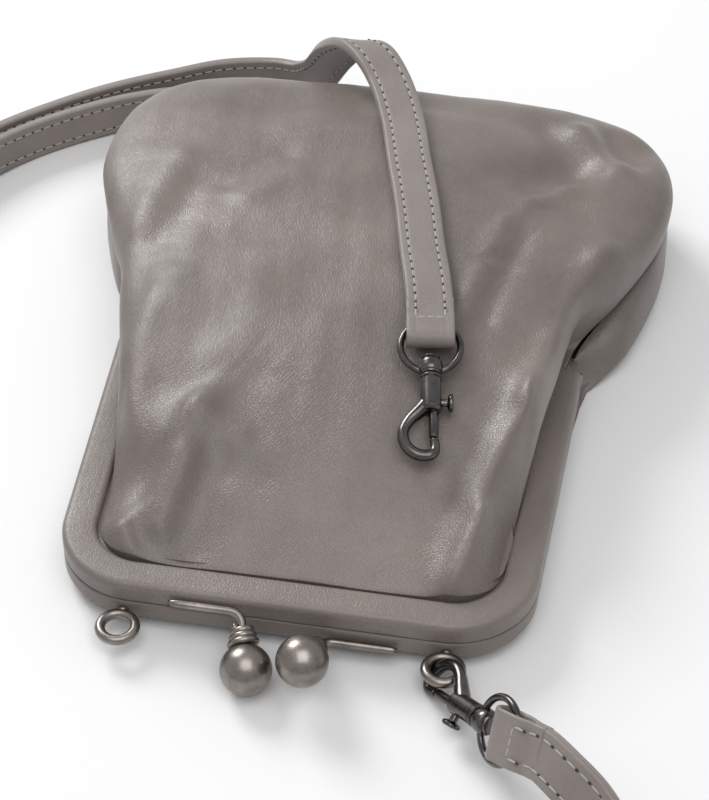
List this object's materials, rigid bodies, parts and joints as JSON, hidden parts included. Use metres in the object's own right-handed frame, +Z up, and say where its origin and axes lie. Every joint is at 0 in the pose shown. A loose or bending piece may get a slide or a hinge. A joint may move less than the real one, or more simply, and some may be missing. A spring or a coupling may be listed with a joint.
{
  "type": "kiss-lock phone bag with a shoulder strap",
  "caption": "Soft leather phone pouch on a covered kiss-lock frame, lying on its back with a clip-on strap looped round it",
  "frame": {"origin": "middle of the bounding box of bag and strap, on the surface that the bag lies on", "axes": "+Z up from that surface, +X to the bag's right along its frame, +Y from the clasp to the bottom of the bag"},
  "size_m": [0.2706, 0.3718, 0.048],
  "materials": {
    "pouch_leather": "soft pebbled taupe-grey leather",
    "frame_leather": "the same leather stretched over the frame",
    "strap_leather": "stitched strap leather",
    "nickel": "aged warm nickel",
    "gunmetal": "polished dark gunmetal"
  },
  "bodies": {
    "bag": {"pouch": "pouch_leather", "frame_front": "frame_leather", "frame_back": "frame_leather", "hinge_left": "nickel", "hinge_right": "nickel", "ring_left": "nickel", "ring_right": "nickel", "clasp_front": "nickel", "clasp_back": "nickel", "free_hook_ring": "gunmetal", "ring_hook_ring": "gunmetal", "strap_short": "strap_leather", "strap_long": "strap_leather", "strap_slide": "nickel"},
    "free_hook": {"free_hook_body": "gunmetal"},
    "free_bolt": {"free_hook_bolt": "gunmetal"},
    "ring_hook": {"ring_hook_body": "gunmetal"},
    "ring_bolt": {"ring_hook_bolt": "gunmetal"}
  },
  "joints": [
    {"name": "free_hook_swivel", "type": "hinge", "parent": "bag", "child": "free_hook", "pos_m": [0.0586, 0.01657, 0.0419], "axis": [0.1511, -0.954, -0.2588], "range_deg": [-4, 14]},
    {"name": "free_bolt_slide", "type": "slide", "parent": "free_hook", "child": "free_bolt", "axis": [-0.1511, 0.954, 0.2588], "range_m": [0, 0.0054], "stiffness_N_per_m": 300, "springref_m": -0.004},
    {"name": "ring_hook_swivel", "type": "hinge", "parent": "bag", "child": "ring_hook", "pos_m": [0.0904, -0.08673, 0.0158], "axis": [-0.5963, 0.6835, -0.421], "range_deg": [-3, 2]},
    {"name": "ring_bolt_slide", "type": "slide", "parent": "ring_hook", "child": "ring_bolt", "axis": [0.5963, -0.6835, 0.421], "range_m": [0, 0.0054], "stiffness_N_per_m": 300, "springref_m": -0.004}
  ]
}
